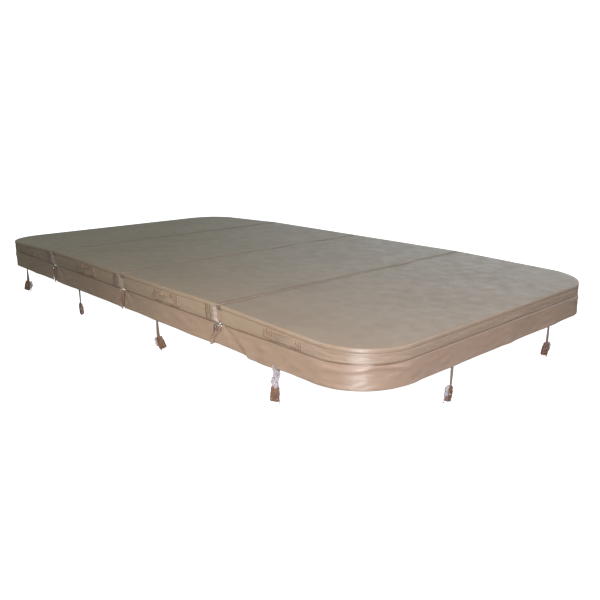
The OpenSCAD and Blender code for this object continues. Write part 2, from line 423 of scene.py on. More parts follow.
def joined(name, parts):
    """Merges pieces into one object that keeps each one's material."""
    mesh = bpy.data.meshes.new(name)
    bm = bmesh.new()
    for part in parts:
        start, material = len(bm.faces), part.data.materials[0]
        bm.from_mesh(part.data)
        bm.faces.ensure_lookup_table()
        if mesh.materials.find(material.name) < 0:
            mesh.materials.append(material)
        for face in bm.faces[start:]:
            face.material_index = mesh.materials.find(material.name)
        bpy.data.objects.remove(part)
    bm.to_mesh(mesh)
    bm.free()
    return add_object(name, mesh)


def rounded(half_x, half_z, radius, each=5):
    """A rounded rectangle as (x, z) points."""
    turns = (np.arange(4)[:, None] + np.linspace(0, 1, each + 1)) * pi / 2
    middles = np.array([(1, 1), (-1, 1), (-1, -1), (1, -1)])[:, None] * (half_x - radius, half_z - radius)
    return (middles + radius * np.stack([np.cos(turns), np.sin(turns)], -1)).reshape(-1, 2)


# ---- Panels ----

TOP_CROWN = 2.2 * MM
SIDE_CELLS, CROSS_CELLS = 74, 152
# The rolled edge of a top, the seam's drop below it, and the height at which the side wall ends
EDGE_RADIUS, LIP, WALL_FOOT = 7.5 * MM, 21 * MM, 4.5 * MM
# Cells in half a corner's arc: a hinge side's small corner and an outer end's large one
TIGHT_CELLS, WIDE_CELLS = 3, 17


class Panel:
    """One panel's outline and heights, taken from its CAD cover."""

    def __init__(self, number):
        self.number = number
        self.body = f"panel_{number}"
        node = frame["nodes"][f"panel_cover_{number}"]
        v = np.array([p.co for p in node.data.vertices])
        self.x0, self.x1, self.y = v[:, 0].min(), v[:, 0].max(), v[:, 1].max()
        low, high = (v[abs(v[:, 0] - x) < 0.1 * MM] for x in (self.x0, self.x1))
        self.h0, self.h1 = low[:, 2].max(), high[:, 2].max()
        self.r0, self.r1 = self.y - low[:, 1].max(), self.y - high[:, 1].max()
        self.hinge_low, self.hinge_high = self.r0 < 0.1, self.r1 < 0.1
        self.outline()

    def height(self, x):
        return self.h0 + (self.h1 - self.h0) * (x - self.x0) / (self.x1 - self.x0)

    def outline(self):
        """Four sides from the middle of one corner's arc to the middle of the next, against the clock."""
        corners = [
            (self.x0 + self.r0, -self.y + self.r0, self.r0), (self.x1 - self.r1, -self.y + self.r1, self.r1),
            (self.x1 - self.r1, self.y - self.r1, self.r1), (self.x0 + self.r0, self.y - self.r0, self.r0),
        ]

        def arc(x, y, radius, turns):
            ways = [(cos(t), sin(t)) for t in turns]
            return [(x + radius * nx, y + radius * ny, nx, ny) for nx, ny in ways]

        rows, self.starts = [], []
        for k, cells in enumerate((SIDE_CELLS, CROSS_CELLS) * 2):
            ends = corners[k], corners[(k + 1) % 4]
            counts = [TIGHT_CELLS if corner[2] < 0.1 else WIDE_CELLS for corner in ends]
            start = (225 + 90 * k) % 360
            facing = radians(start + 45)
            first, last = (np.array(arc(*corner, [facing])[0]) for corner in ends)
            straight = cells - sum(counts)
            self.starts.append(len(rows))
            rows += arc(*ends[0], [radians(start + 45 * i / counts[0]) for i in range(counts[0])])
            rows += [first + (last - first) * i / straight for i in range(straight)]
            rows += arc(*ends[1], [facing + radians(45 * i / counts[1]) for i in range(counts[1])])
        rows = np.array(rows)
        self.points, self.normals = rows[:, :2], rows[:, 2:]
        self.along = run(self.points)
        facing = self.normals[:, 0]
        self.at_hinge = facing ** 2 * np.where(facing > 0, self.hinge_high, self.hinge_low)

    def sides(self, ring):
        """Splits a ring of the outline's points or indices into the near, right, far and left side."""
        loop = np.concatenate([ring, ring[:1]])
        a, b, c, d = self.starts
        return loop[a:b + 1], loop[b:c + 1], loop[c:d + 1][::-1], loop[d:][::-1]

    def grid(self, ring):
        """Fills a ring of the outline's points with a grid: (rows, columns) of (x, y)."""
        near, right, far, left = self.sides(ring)
        shares = [run(line) / run(line)[-1] for line in (near, far, left, right)]
        u = ((shares[0] + shares[1]) / 2)[None, :, None]
        v = ((shares[2] + shares[3]) / 2)[:, None, None]
        corners = (1 - u) * (1 - v) * near[0] + u * (1 - v) * near[-1]
        corners = corners + (1 - u) * v * far[0] + u * v * far[-1]
        return (1 - v) * near[None] + v * far[None] + (1 - u) * left[:, None] + u * right[:, None] - corners


def corner_share(normals, reach, mode):
    """1 where a path turns a corner and 0 along a straight side, blurred over reach points each way."""
    turned = ((abs(normals[:, 0]) > 0.02) & (abs(normals[:, 1]) > 0.02)).astype(float)
    return np.convolve(np.pad(turned, reach, mode), np.ones(2 * reach + 1) / (2 * reach + 1), "valid")


CLOTH_FRAMES = 24
CLOTH_ROWS = 7
# How much wider than its place the vinyl is cut, on the top and on the side walls
TOP_SLACK, WALL_SLACK = 0.0003, 0.010
# The share of the pressure that the top takes; the foam holds up the rest
TOP_PRESSURE = 0.0004


def settle(name, points, faces, pinned, wall):
    """Lets slack vinyl settle by cloth simulation, and returns how far each of its points moves."""
    mesh = bpy.data.meshes.new(name)
    mesh.from_pydata(points.tolist(), [], faces)
    sheet = add_object(name, mesh)
    for label, chosen, weight in (
        ("pinned", pinned, 1.0), ("pressed", wall, 1.0), ("pressed", ~wall, TOP_PRESSURE),
    ):
        group = sheet.vertex_groups.get(label) or sheet.vertex_groups.new(name=label)
        group.add(np.flatnonzero(chosen).tolist(), weight, "REPLACE")
    cloth = sheet.modifiers.new("cloth", "CLOTH")
    cloth.point_cache.frame_start, cloth.point_cache.frame_end = 1, CLOTH_FRAMES
    rules = cloth.settings
    rules.quality, rules.mass, rules.air_damping = 5, 0.3, 2.0
    rules.tension_stiffness = rules.compression_stiffness = 40
    rules.shear_stiffness, rules.bending_stiffness = 15, 0.1
    rules.vertex_group_mass = "pinned"
    sheet.shape_key_add(name="basis")
    rules.rest_shape_key = sheet.shape_key_add(name="cut")
    wider = points * (1 + np.where(wall, WALL_SLACK, TOP_SLACK))[:, None]
    rules.rest_shape_key.data.foreach_set("co", wider.ravel())
    rules.use_pressure, rules.uniform_pressure_force = True, 8.0
    rules.vertex_group_pressure = "pressed"
    rules.effector_weights.gravity = 0
    for number in range(1, CLOTH_FRAMES + 1):
        bpy.context.scene.frame_set(number)
    settled = sheet.evaluated_get(bpy.context.evaluated_depsgraph_get()).data
    ends = np.empty(len(points) * 3)
    settled.vertices.foreach_get("co", ends)
    bpy.data.objects.remove(sheet)
    bpy.context.scene.frame_set(1)
    return ends.reshape(-1, 3) - points


def drape(panel, radius):
    """The vinyl's shape between its seams: how far the top rises, on the panel's grid, and how far each row
    of the side wall swells."""
    points, normals, count = panel.points, panel.normals, len(panel.points)
    fine = panel.grid(points - normals * radius[:, None])
    coarse = fine[::2, ::2]
    rows, columns = coarse.shape[:2]
    size = rows * columns
    x, y = coarse[..., 0].ravel(), coarse[..., 1].ravel()
    seed = 40 * panel.number
    verts = [places(x, y, panel.height(x) + 0.4 * MM * ripple(x, y * 0.7, 0.34, seed))]
    faces = grid_faces(np.arange(size).reshape(rows, columns))
    rim = np.ones((rows, columns), bool)
    rim[1:-1, 1:-1] = False
    top = panel.height(points[:, 0]) - 25 * MM
    for k in range(CLOTH_ROWS):
        depth = k / (CLOTH_ROWS - 1)
        start = 0.3 * MM * sin(pi * depth) * ripple(panel.along, depth * 0.08, 0.09, seed + 7)
        verts.append(np.c_[points + normals * start[:, None], top + (WALL_FOOT - top) * depth])
        if k:
            faces += band_faces(size + k * count, size + (k - 1) * count, count)
    verts = np.vstack(verts)
    wall = np.arange(len(verts)) >= size
    ends = np.repeat(np.isin(np.arange(CLOTH_ROWS), (0, CLOTH_ROWS - 1)), count)
    moved = settle(f"cloth_{panel.number}", verts, faces, np.r_[rim.ravel(), ends], wall)
    rise = (verts[:size, 2] - panel.height(x) + moved[:size, 2]).reshape(rows, columns)
    shift = verts[size:, :2] - np.tile(points, (CLOTH_ROWS, 1)) + moved[size:, :2]
    swollen = (shift * np.tile(normals, (CLOTH_ROWS, 1))).sum(1).reshape(CLOTH_ROWS, count)
    lifted = np.empty(fine.shape[:2])
    lifted[::2, ::2] = rise
    lifted[::2, 1::2] = (rise[:, 1:] + rise[:, :-1]) / 2
    lifted[1::2] = (lifted[:-1:2] + lifted[2::2]) / 2
    return np.clip(lifted, -0.6 * MM, 3.2 * MM), np.clip(swollen, -0.8 * MM, 3.4 * MM)


def top_relief(panel, x, y, lifted):
    """The foam's crown, the simulated rise and the puckers beside each seam, in metres above the foam."""
    inside_x = np.maximum(np.minimum(x - panel.x0, panel.x1 - x), 0)
    inside_y = np.maximum(panel.y - abs(y), 0)
    rise = (1 - np.exp(-inside_x / 0.10)) * (1 - np.exp(-inside_y / 0.12))
    seed = 40 * panel.number
    puckers = 0.35 * ripple(x, y, 0.045, seed + 2) * np.exp(-inside_y / 0.05)
    return TOP_CROWN * rise + lifted + (0.3 * ripple(x, y, 0.15, seed + 1) * rise + puckers) * MM


def wall_relief(panel, depth, turned):
    """How far the side wall's folds stand out at a depth from 0 at the top seam to 1 at the bottom one."""
    along, seed = panel.along, 40 * panel.number + 7
    belly = sin(pi * depth) ** 0.7 if depth < 1 else 0
    long = ripple(along * 0.35, depth * 0.10, 0.12, seed)
    short = ripple(along, depth * 0.09, 0.055, seed + 1)
    pucker = ripple(along, depth * 0.015, 0.03, seed + 2)
    pucker *= exp(-depth / 0.18) + exp((depth - 1) / 0.15)
    gather = np.sin(along * TAU / 0.052 + 5 * depth + 1.5 * ripple(along, depth * 0.1, 0.2, seed + 3))
    gather *= turned * smooth(ripple(along, depth * 0.1, 0.11, seed + 4), 0.1, 1.2)
    tucks = sum(
        smooth(turned, 0.3, 1.0) * smooth(ripple(along, 0, 0.4, seed + 5 + k), -0.9, 0.2) * deep
        * np.exp(-((depth - level - 0.05 * ripple(along, 0, 0.35, seed + 8 + k)) / 0.055) ** 2)
        for k, (level, deep) in enumerate(((0.30, 2.2), (0.56, 2.0), (0.80, 1.2)))
    )
    return (0.55 * belly * long + 0.4 * belly * short + 0.3 * pucker + 0.9 * belly * gather - tucks) * MM


def make_pad(panel):
    """A panel's cover: a rolled top edge, a lip, the side wall between its seams, and the hem below."""
    points, normals, count = panel.points, panel.normals, len(panel.points)
    turned = corner_share(normals, 6, "wrap") * (1 - panel.at_hinge)
    soft = 1 - 0.42 * panel.at_hinge
    radius = EDGE_RADIUS * soft
    heights = panel.height(points[:, 0])
    lifted, swollen = drape(panel, radius)
    gaps = CLOTH_ROWS - 1
    terms = np.arange(1, gaps)
    waves = np.sin(pi * np.outer(terms, np.arange(CLOTH_ROWS)) / gaps) @ swollen * 2 / gaps
    rings, across = [], []

    def ring(inset, z, distance):
        flat = points - normals * np.broadcast_to(inset, count)[:, None]
        rings.append(np.c_[flat, np.broadcast_to(z, count)])
        across.append(np.full(count, distance))

    for turn in (0, 14, 30, 46, 62, 78, 90):
        a = radians(turn)
        ring(radius * (1 - sin(a)), heights - radius * (1 - cos(a)), 13 * MM * a)
    edge_wave = 0.25 * MM * ripple(panel.along, 0, 0.05, 40 * panel.number + 20) * soft
    for inset, below, distance in (
        (edge_wave, -4, 25), (edge_wave - 0.1 * MM, -1, 28.5), (edge_wave + 0.4 * MM, 0, 29.8),
        (1.0 * MM, 0.8, 31), (1.0 * MM, 2.0, 33),
    ):
        ring(inset, heights - LIP - below * MM, distance * MM)
    top = heights - LIP - 4 * MM
    for depth in (0, 0.06, 0.13, 0.2, 0.27, 0.34, 0.42, 0.5, 0.58, 0.66, 0.74, 0.82, 0.89, 0.95, 1):
        swell = np.sin(pi * terms * depth) @ waves + wall_relief(panel, depth, turned)
        swell *= 1 - 0.8 * panel.at_hinge
        ring(1.1 * MM - swell, top + (WALL_FOOT - top) * depth, 36 * MM + (heights.mean() - 30 * MM) * depth)
    for inset, z, distance in ((3.2, 1.8, 110), (5.0, 0.7, 115), (9.0, 0.3, 120), (12.5, 0.5, 125)):
        ring(inset * MM, z * MM, distance * MM)
    faces = tube_faces(len(rings), count, closed=[])
    verts, distances = np.vstack(rings), np.concatenate(across)
    spans = np.tile(panel.along, len(rings))
    for first, z_of, distance in (
        (0, lambda x, y: panel.height(x) + top_relief(panel, x, y, lifted[1:-1, 1:-1].ravel()), -1.0),
        (len(verts) - count, lambda x, y: np.full(x.shape, 0.8 * MM), 0.2),
    ):
        grid = panel.grid(verts[first:first + count, :2])
        index = np.empty(grid.shape[:2], int)
        index[0], index[:, -1], index[-1], index[:, 0] = panel.sides(np.arange(first, first + count))
        x, y = grid[1:-1, 1:-1].reshape(-1, 2).T
        index[1:-1, 1:-1] = len(verts) + np.arange(x.size).reshape(index[1:-1, 1:-1].shape)
        verts = np.vstack([verts, places(x, y, z_of(x, y))])
        distances = np.r_[distances, np.full(x.size, distance)]
        spans = np.r_[spans, np.zeros(x.size)]
        faces += grid_faces(index)
    pad = mesh_object(f"pad_{panel.number}", verts, faces, PAD, spans, distances)
    belong(pad, panel.body, "vinyl", f"panel_cover_{panel.number}")


PANELS = [Panel(n) for n in (1, 2, 3, 4)]
for panel in PANELS:
    make_pad(panel)

# ---- Skirts ----

# The length of a skirt's cells, and what the hem adds to its drop
SKIRT_STEP, HEM_TURN = 12 * MM, 2 * MM


def skirt_path(panel, start, end, side):
    """Points and outward vectors along a skirt: one side of a middle panel, or round an end panel."""
    def line(a, b, normal):
        n = max(2, int(dist(a, b) / SKIRT_STEP))
        return [(*np.add(a, np.subtract(b, a) * i / n), 0, *normal, 0) for i in range(n)]

    y = panel.y
    if side:
        rows = line((start, side * y), (end, side * y), (0, side)) + [(end, side * y, 0, 0, side, 0)]
    else:
        radius, edge, way = (panel.r0, panel.x0, -1) if panel.hinge_high else (panel.r1, panel.x1, 1)
        x, turns = edge - way * radius, int(radius * pi / 2 / SKIRT_STEP)

        def arc(centre_y, first):
            angles = [radians(first + 90 * i / turns) for i in range(turns)]
            normals = [(way * sin(t), -cos(t)) for t in angles]
            return [(x + radius * nx, centre_y + radius * ny, 0, nx, ny, 0) for nx, ny in normals]

        rows = line((start, -y), (x, -y), (0, -1)) + arc(-y + radius, 0)
        rows += line((edge, -y + radius), (edge, y - radius), (way, 0)) + arc(y - radius, 90)
        rows += line((x, y), (start, y), (0, 1)) + [(start, y, 0, 0, 1, 0)]
    rows = np.array(rows)
    return rows[:, :3], rows[:, 3:]


def skirt_section(drop):
    """Outer face from the seam down to the rolled hem, then the inner face back up."""
    outer = [
        (-5.2, 3), (-3.9, 1.6), (-3.5, -2.2), (-2.6, -4.2), (-0.5, -5.2), (0.2, -7.5), (0.4, -12), (0.3, -17),
        (0.1, -25), (0, -36), (0.1, -48), (0.1, -60), (0, -72), (0, -84), (0, -94), (-0.1, -102.5),
        (0.1, -105), (0.2, -112), (0.3, -119), (0.2, -123), (-0.3, -125),
    ]
    inner = [
        (-1.2, -125), (-1.9, -122.5), (-2, -117), (-2, -110), (-1.9, -104), (-1.7, -97), (-1.7, -84),
        (-1.7, -66), (-1.7, -48), (-1.7, -30), (-1.8, -15), (-3.6, -9), (-5, 0.5), (-6.4, 3),
    ]
    return np.array(outer + inner) * MM * (1, drop / (125 * MM))


def make_skirt(panel, name, path, out, seed, lean):
    """lean is how far the cloth reaches past its path's start and end at the hem, negative to fall short."""
    drop = -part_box(f"skirt_{panel.number}")[0][2]
    turned = corner_share(out, 5, "edge")[:, None]

    def warp(along, proud, up):
        low = np.clip(-up / drop, 0, 1)
        total = along[-1, 0]
        to_end = np.minimum(along, total - along)
        sway = 2.6 * low ** 1.3 * np.maximum(ripple(along, low * 0.12, 0.34, seed), -0.5)
        crumple = 0.8 * smooth(low, 0.03, 0.3) * ripple(along * 0.6, low * 0.35, 0.09, seed + 1)
        pucker = 0.45 * ripple(along, low * 0.02, 0.028, seed + 2) * np.exp(-low / 0.12)
        tuck = 4.5 * np.exp(-((low - 0.22 - 0.04 * ripple(along, 0, 0.3, seed + 3)) / 0.09) ** 2)
        gather = 1.6 * np.sin(low * 26 + along * 20 + 1.4 * ripple(along, 0, 0.2, seed + 4))
        gather *= smooth(low, 0.1, 0.4) * smooth(ripple(along, low * 0.2, 0.16, seed + 5), 0.0, 1.4)
        folds = turned * (tuck + gather)
        reach = np.hypot(to_end, low * drop)
        fan = np.sin(8.5 * np.arctan2(low * drop + 4 * MM, to_end + 1 * MM) + 0.6) * 3.2
        fan *= np.exp(-reach / 0.10) * smooth(reach, 0.0, 0.03) * (1.5 if panel.number > 2 else 1)
        move = (sway + crumple + pucker + folds + fan) * MM
        wave = 1.2 * MM * low * ripple(along, 0, 0.5, seed + 6)
        if panel.number == 4:
            past = along - 0.03 - 0.19 * low ** 0.8
            move += 10 * MM * low * smooth(past, 0, 0.016) * np.exp(-np.maximum(past, 0) / 0.13)
            sag = 8 * MM * np.exp(-((along - 0.33) / 0.12) ** 2)
            wave += low ** 2 * (6 * MM * smooth(-past, -0.03, 0.02) - sag)
        flare = np.exp(-to_end / 0.09) * smooth(low, 0.06, 0.9)
        side = np.where(along < total / 2, -lean[0], lean[1]) * flare
        return proud + np.maximum(move, -0.8 * MM), up + wave * (low > 0), side

    skirt = sweep(name, path, out, skirt_section(drop), SKIRT, warp)
    belong(skirt, panel.body, "skirt_vinyl", f"skirt_{panel.number}")


# How far each panel's skirt reaches past its seam at the hem, beside a hinge on its low or its high side
HEM_LOW, HEM_HIGH = {2: 14 * MM, 3: 12 * MM, 4: 78 * MM}, {1: -22 * MM, 2: -6 * MM, 3: -62 * MM}

for panel in PANELS:
    n = panel.number
    lo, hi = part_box(f"skirt_{n}")
    name, seed = f"skirt_sheet_{n}", 500 + 40 * n
    if panel.hinge_low and panel.hinge_high:
        for label, side in SIDES:
            path, out = skirt_path(panel, lo[0], hi[0], side)
            make_skirt(panel, f"{name}_{label}", path, out, seed + side, (HEM_LOW[n], HEM_HIGH[n]))
    else:
        start, reach = (hi[0], HEM_HIGH[n]) if panel.hinge_high else (lo[0], HEM_LOW[n])
        path, out = skirt_path(panel, start, None, 0)
        make_skirt(panel, name, path, out, seed, (reach, reach))

# ---- Hinges ----

JOINTS = {joint["name"]: joint for joint in frame["joints"]}
# The strip's cut width, how far it bends on each side of a fold, and half the width of a flap
STRIP_WIDTH, BEND, FLAP_HALF = 46 * MM, 11 * MM, 34 * MM


def over_edge(panel, reach):
    """A line across the cover, from wall to wall over the top, as (y, distance below the top) points."""
    radius, y = 13 * MM, panel.y
    turns = np.radians(steps(90, 0, 10))
    near = [(-y - 1.2 * MM, -d) for d in steps(reach, radius, 8 * MM)[:-1]]
    near += [(-y + radius - (radius + 1.2 * MM) * sin(t), -radius + radius * cos(t)) for t in turns]
    flat = [(v, 0.0) for v in steps(-y + radius, y - radius, 14 * MM)[1:-1]]
    return np.array(near + flat + [(-v, d) for v, d in near[::-1]])


def make_hinge(number):
    joint = JOINTS[f"fold_{number}"]
    parent, child = joint["parent"], joint["child"]
    fold, panel = Vector(joint["pos_m"]), PANELS[number - 1]
    half = [
        (0, -3), (2.5, -3.6), (5, -3.3), (8, -1.4), (10.5, 0.5), (13, 1.1), (17, 1.3), (20.5, 1.2),
        (21.8, 0.4),
    ]
    upper = [(-x, z) for x, z in half[::-1]] + half[1:]
    lower = [(x * 0.985, z - 1.4) for x, z in upper[::-1]]
    line = over_edge(panel, 30 * MM)
    path = places(fold.x, line[:, 0], panel.h1 + line[:, 1])

    def warp(along, proud, up):
        gather = 0.35 * MM * ripple(along, proud * 3, 0.045, 900 + number) * (abs(proud) < 12 * MM)
        return proud + 0.6 * MM * ripple(along, 0, 0.5, 910 + number), up + gather, 0 * up

    section = np.array(upper + lower) * MM
    # The strip's dark colour is painted shade for the crease.
    strip = sweep(f"hinge_strip_{number}", path, (1, 0, 0), section, SHADED_HINGE, warp, cross=0)
    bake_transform(strip)
    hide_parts(f"hinge_{number}")

    # The seal is a soft strip that fills the gap under the fold line
    tall = panel.h1 - 8 * MM
    z = tall / MM
    core = [(1.2, z), (1.9, z - 4), (2.6, z - 20), (2.7, 50), (2.5, 20), (1.8, 5), (0.8, 1.5)]
    core = np.array(core + [(-x, z) for x, z in core[::-1]]) * MM
    path = places(fold.x, steps(-panel.y + 5 * MM, panel.y - 5 * MM, 20 * MM), 0)

    def bulge(along, proud, up):
        return proud + 0.3 * MM * ripple(along, up, 0.06, 930 + number), up, 0 * up

    seal = sweep(f"hinge_seal_{number}", path, (1, 0, 0), core, HANDLE, bulge)
    belong(seal, parent, "hinge_vinyl")
    for label, side in SIDES:
        make_flap(number, label, side, fold, parent)
        make_gusset(panel, number, label, side)


def make_flap(number, label, side, fold, parent):
    """The pointed flap behind the split in the skirt."""
    drop = steps(-1.5 * MM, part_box(f"hinge_{number}")[0][2] - 14 * MM, 6 * MM)
    depth = (drop - drop[0]) / (drop[-1] - drop[0])
    half = FLAP_HALF * np.where(depth < 0.72, 1 - 0.14 * depth, np.maximum(0.9 * (1 - depth) / 0.28, 0.05))
    y = side * (PANELS[0].y - 4.2 * MM + 5.5 * MM * smooth(depth, 0.75, 1.0))
    path = places(fold.x - 10 * MM - (72 if number == 3 else 12) * MM * depth, y, drop)
    section = [(0.9 * MM, v) for v in np.linspace(-1, 1, 9)] + [(-0.9 * MM, v) for v in np.linspace(1, -1, 9)]

    def warp(along, proud, up):
        curl = 1.1 * MM * np.sin(up * 2.4 + 0.6 + along * 30) * smooth(along, 0, 0.05)
        return proud + curl, up * half[:, None], 0 * up

    flap = sweep(f"hinge_flap_{number}_{label}", path, (0, side, 0), section, FLAP, warp)
    belong(flap, parent, "hinge_vinyl")


def make_gusset(panel, number, label, side):
    """The sewn tab and the soft roll that finish a panel's side wall beside its hinge."""
    outer = [
        (-118, 0.6), (-117, 2.0), (-112, 2.3), (-108, 1.6), (-104, 2.3), (-92, 2.4), (-80, 2.0), (-70, 1.5),
        (-64, 1.4), (-59, 3.0), (-54, 6.5), (-47, 10.5), (-38, 12.5), (-29, 11.5), (-21, 8.0), (-15, 4.0),
        (-10, 1.6), (-7, 0.8),
    ]
    section = np.array([(proud, x) for x, proud in outer] + [(-0.6, -8), (-0.6, -60), (-0.6, -117)]) * MM
    drop = steps(panel.h1 - 15 * MM, 3 * MM, 4 * MM)
    d = ((drop[0] - drop) / (drop[0] - drop[-1]))[:, None]

    def warp(along, proud, up):
        roll = smooth(up, -66 * MM, -52 * MM)
        proud = np.where(roll > 0, proud * (1 - roll * (0 if number == 3 else 0.5)), proud)
        ends = smooth(d, 0.0, 0.12) * (1 - 0.75 * smooth(d, 0.84, 1.0))
        ends *= 1 - 0.16 * np.exp(-((d - 0.62) / 0.07) ** 2)
        crease = 0.55 * MM * ripple(along, up, 0.03, 960 + number * 2 + side) * within(d, 0.1)
        full = 0.9 * MM + (proud - 0.9 * MM) * (1 - roll + roll * ends) + crease
        return np.where(proud > 0, full, proud), up + roll * 9 * MM * smooth(d, 0.7, 1.0), 0 * up

    path = places(panel.x1, side * panel.y, drop)
    gusset = sweep(f"gusset_{number}_{label}", path, (0, side, 0), section, ROLL, warp)
    if gusset.data.vertices[0].co.x > panel.x1:
        for vertex in gusset.data.vertices:
            vertex.co.x = 2 * panel.x1 - vertex.co.x
        gusset.data.flip_normals()
    belong(gusset, panel.body, "hinge_vinyl")


for number in (1, 2, 3):
    make_hinge(number)

# ---- Handles ----

# Half the width of a patch, in millimetres, and how far its middle lies from the handle's end
PATCH_HALF, PATCH_INSET = 42, 62 * MM


def make_handle(panel, label, side):
    """A strap sewn down at both ends that bows out from the wall, with a quilted patch over each end."""
    lo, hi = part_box(f"handles_{panel.number}")
    middle, half_l = (lo[0] + hi[0]) / 2, (hi[0] - lo[0]) / 2
    z, half_w = (lo[2] + hi[2]) / 2, (hi[2] - lo[2]) / 2
    x = steps(-half_l, half_l, 6 * MM)
    free = np.clip(x / (half_l - 45 * MM), -1, 1)
    bow = (hi[1] - panel.y - 4.5 * MM) * (1 + np.cos(np.pi * free)) / 2 * 0.8
    path = places(middle + x, side * (panel.y + 1.3 * MM + bow), z)
    w = half_w / MM
    outer = [(1.16, w), (2.9, w - 1), (2.9, w - 3), (2.2, w - 4.2), (2.4, w - 9), (2.6, 0)]
    outer += [(p, -v) for p, v in outer[-2::-1]]
    inner = [(-0.3, -w + 1), (0.1, -w / 2), (0.2, 0), (0.1, w / 2), (-0.3, w - 1)]

    def warp(along, proud, up):
        at = abs(along - half_l)
        box = sum(np.exp(-((at - (half_l - inset)) / (2.2 * MM)) ** 2) for inset in (43 * MM, 6 * MM))
        soft = 0.35 * MM * ripple(along, up, 0.04, 1200 + panel.number * 2 + side)
        narrow = 1 - 0.05 * smooth(half_l - at, 0.04, 0.12)
        return proud - 0.9 * MM * box * (proud > 1 * MM) + soft, up * narrow + soft, 0 * up

    name, section = f"handle_{panel.number}_{label}", np.array(outer + inner) * MM
    handle = sweep(name, path, (0, side, 0), section, HANDLE, warp)
    belong(handle, panel.body, "handle_vinyl", f"handles_{panel.number}")
    for end, way in (("low", -1), ("high", 1)):
        at = middle + way * (half_l - PATCH_INSET)
        make_patch(panel, f"handle_patch_{panel.number}_{label}_{end}", at, side)


def make_patch(panel, name, x, side):
    """A quilted patch over a handle's sewn end, with stitched ridges that run up and down."""
    bottom, top = 7 * MM, panel.height(x) - 27 * MM
    across = np.linspace(-PATCH_HALF, PATCH_HALF, 43)
    ridge = 3.9 + 0.9 * abs(np.sin(across * pi / 17))
    ridge -= 1.2 * smooth(abs(across), PATCH_HALF - 4, PATCH_HALF)
    section = np.array([*zip(ridge, across), (-0.2, 41), (-0.2, 0), (-0.2, -41)]) * MM
    drop = steps(top, bottom, 4 * MM)
    d = ((top - drop) / (top - bottom))[:, None]

    def warp(along, proud, up):
        edge, strap = within(d, 0.07), np.exp(-((d - 0.5) / 0.34) ** 4)
        lump = 0.4 * MM * ripple(along, up, 0.03, 1300 + panel.number)
        full = 0.4 * MM + (proud - 1.4 * MM) * edge + (1.2 * MM * strap + lump) * edge
        return np.where(proud > 0, full, proud), up, 0 * up

    patch = sweep(name, places(x, side * panel.y, drop), (0, side, 0), section, PATCH, warp)
    belong(patch, panel.body, "handle_vinyl")


for panel in PANELS:
    for label, side in SIDES:
        make_handle(panel, label, side)

# ---- Undersides ----


def make_liner(panel):
    """Fabric stretched over the panel's underside, inside its hem."""
    inset = panel.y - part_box(f"underside_liner_{panel.number}")[1][1]
    grid = panel.grid(panel.points - panel.normals * inset)[::2, ::2]
    x, y = grid[..., 0].ravel(), grid[..., 1].ravel()
    edge = np.minimum(np.minimum(x - panel.x0, panel.x1 - x), panel.y - abs(y)) - inset
    slack = 0.06 * MM * np.clip(ripple(x, y, 0.3, 1400 + panel.number), -2, 2) * smooth(edge, 0, 0.08)
    low = places(x, y, -0.30 * MM + slack)
    points, size = np.vstack([low, low + (0, 0, 0.6 * MM)]), len(low)
    index = np.arange(size).reshape(grid.shape[:2])
    rim = np.r_[index[0, :-1], index[:-1, -1], index[-1, :0:-1], index[:0:-1, 0]]
    quads = grid_faces(index)
    faces = quads + [tuple(v + size for v in q[::-1]) for q in quads]
    faces += [(a, b, b + size, a + size) for a, b in zip(rim, np.roll(rim, -1))]
    liner = mesh_object(f"liner_{panel.number}", points, faces, LINER, points[:, 0], points[:, 1])
    belong(liner, panel.body, "liner_fabric", f"underside_liner_{panel.number}")
    make_zip(panel)


def make_zip(panel):
    """The zip beside a panel's hinge: its tape and teeth, and the tab on its slider."""
    lo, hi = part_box(f"zip_slider_{panel.number}")
    zip_x = (lo[0] + hi[0]) / 2
    span = steps(-panel.y + 12 * MM, panel.y - 12 * MM, 12 * MM)
    half = [(-10, -0.9), (-9, -1.5), (-3.2, -1.6), (-2.6, -2.7), (-0.9, -3.0)]
    tape = half + [(0, -2.4)] + [(-x, z) for x, z in half[::-1]] + [(8, -0.5), (-8, -0.5)]
    name, path = f"zip_tape_{panel.number}", places(zip_x, span, 0)
    zipper = sweep(name, path, (1, 0, 0), np.array(tape) * MM, TEETH, cross=0)
    belong(zipper, panel.body, "liner_fabric")

    rings = []
    for t, half, thick in (
        (0, 3.2, 0.5), (0.06, 4.0, 0.8), (0.2, 4.2, 0.8), (0.7, 5.4, 0.8), (0.92, 5.2, 0.8), (1, 3.6, 0.4),
    ):
        middle = Vector((zip_x, lo[1] - 1.5 * MM - 2.5 * MM * t, lo[2] - 1 * MM - 27 * MM * t))
        outline = rounded(half * MM, thick * MM, 0.38 * thick * MM, 2)
        rings.append([middle + Vector((px, pz, 0)) for px, pz in outline])
    belong(loft(f"zip_pull_{panel.number}", rings, METAL), f"zip_{panel.number}", "zip_metal")


for panel in PANELS:
    make_liner(panel)

# ---- Tie-downs ----

# For each tie-down: how many degrees its lock leans and its strap twists, and the side its bag hangs on
TIE_LEAN = {1: 14, 2: -9, 3: -24, 4: 3, 5: 17, 6: 12}
TIE_TWIST = {1: 34, 2: -8, 3: 24, 4: 34, 5: 6, 6: -12}
BAG_SIDE = {1: 1, 2: -1, 3: -1, 4: 0, 5: -1, 6: 1}
# Half the webbing's width, in millimetres, the clip's height above the housing, and a bag tail's width
WEBBING_HALF, CLIP_HEIGHT, TAIL_WIDTH = 12.5, 22 * MM, 10 * MM


